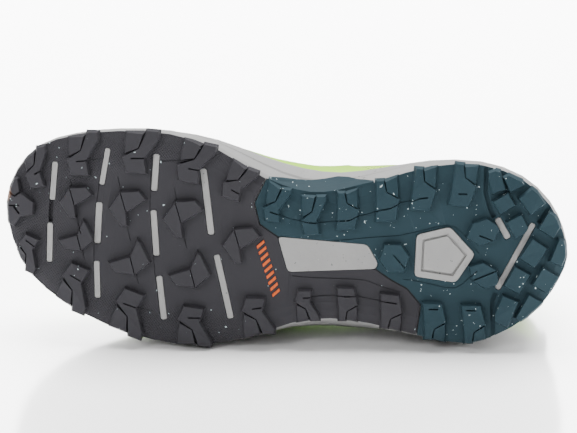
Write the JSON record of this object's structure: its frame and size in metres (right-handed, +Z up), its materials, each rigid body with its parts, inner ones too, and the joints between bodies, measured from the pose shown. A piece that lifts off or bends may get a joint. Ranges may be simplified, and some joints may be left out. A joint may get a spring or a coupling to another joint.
{
  "type": "trail running shoe",
  "caption": "Trail running shoe for the right foot, lying on its outer side: two-part lugged rubber outsole, foam midsole, mesh upper, laced throat.",
  "frame": {"origin": "on the floor, below the middle of the shoe's bounding box, as it lies on its outer side", "axes": "+X towards the heel, -X towards the toe, -Y out of the tread, +Y out of the collar, +Z up through the inner (big toe) side"},
  "size_m": [0.2976, 0.1242, 0.1136],
  "materials": {
    "charcoal_rubber": "matt black rubber with fine white specks",
    "teal_rubber": "matt petrol rubber with fine white specks",
    "grey_foam": "light grey moulded foam with dark specks",
    "lime_mesh": "woven mesh",
    "teal_textile": "padded textile",
    "lime_film": "welded film",
    "dark_film": "welded film",
    "lace_cord": "flat woven lace"
  },
  "bodies": {
    "root": {"outsole_forefoot": "charcoal_rubber", "outsole_heel": "teal_rubber", "midsole": "grey_foam", "upper": "lime_mesh", "tongue": "teal_textile", "insole": "teal_textile", "eyestay": "lime_film", "toe_bumper": "dark_film", "heel_counter": "dark_film", "laces": "lace_cord"}
  },
  "joints": []
}
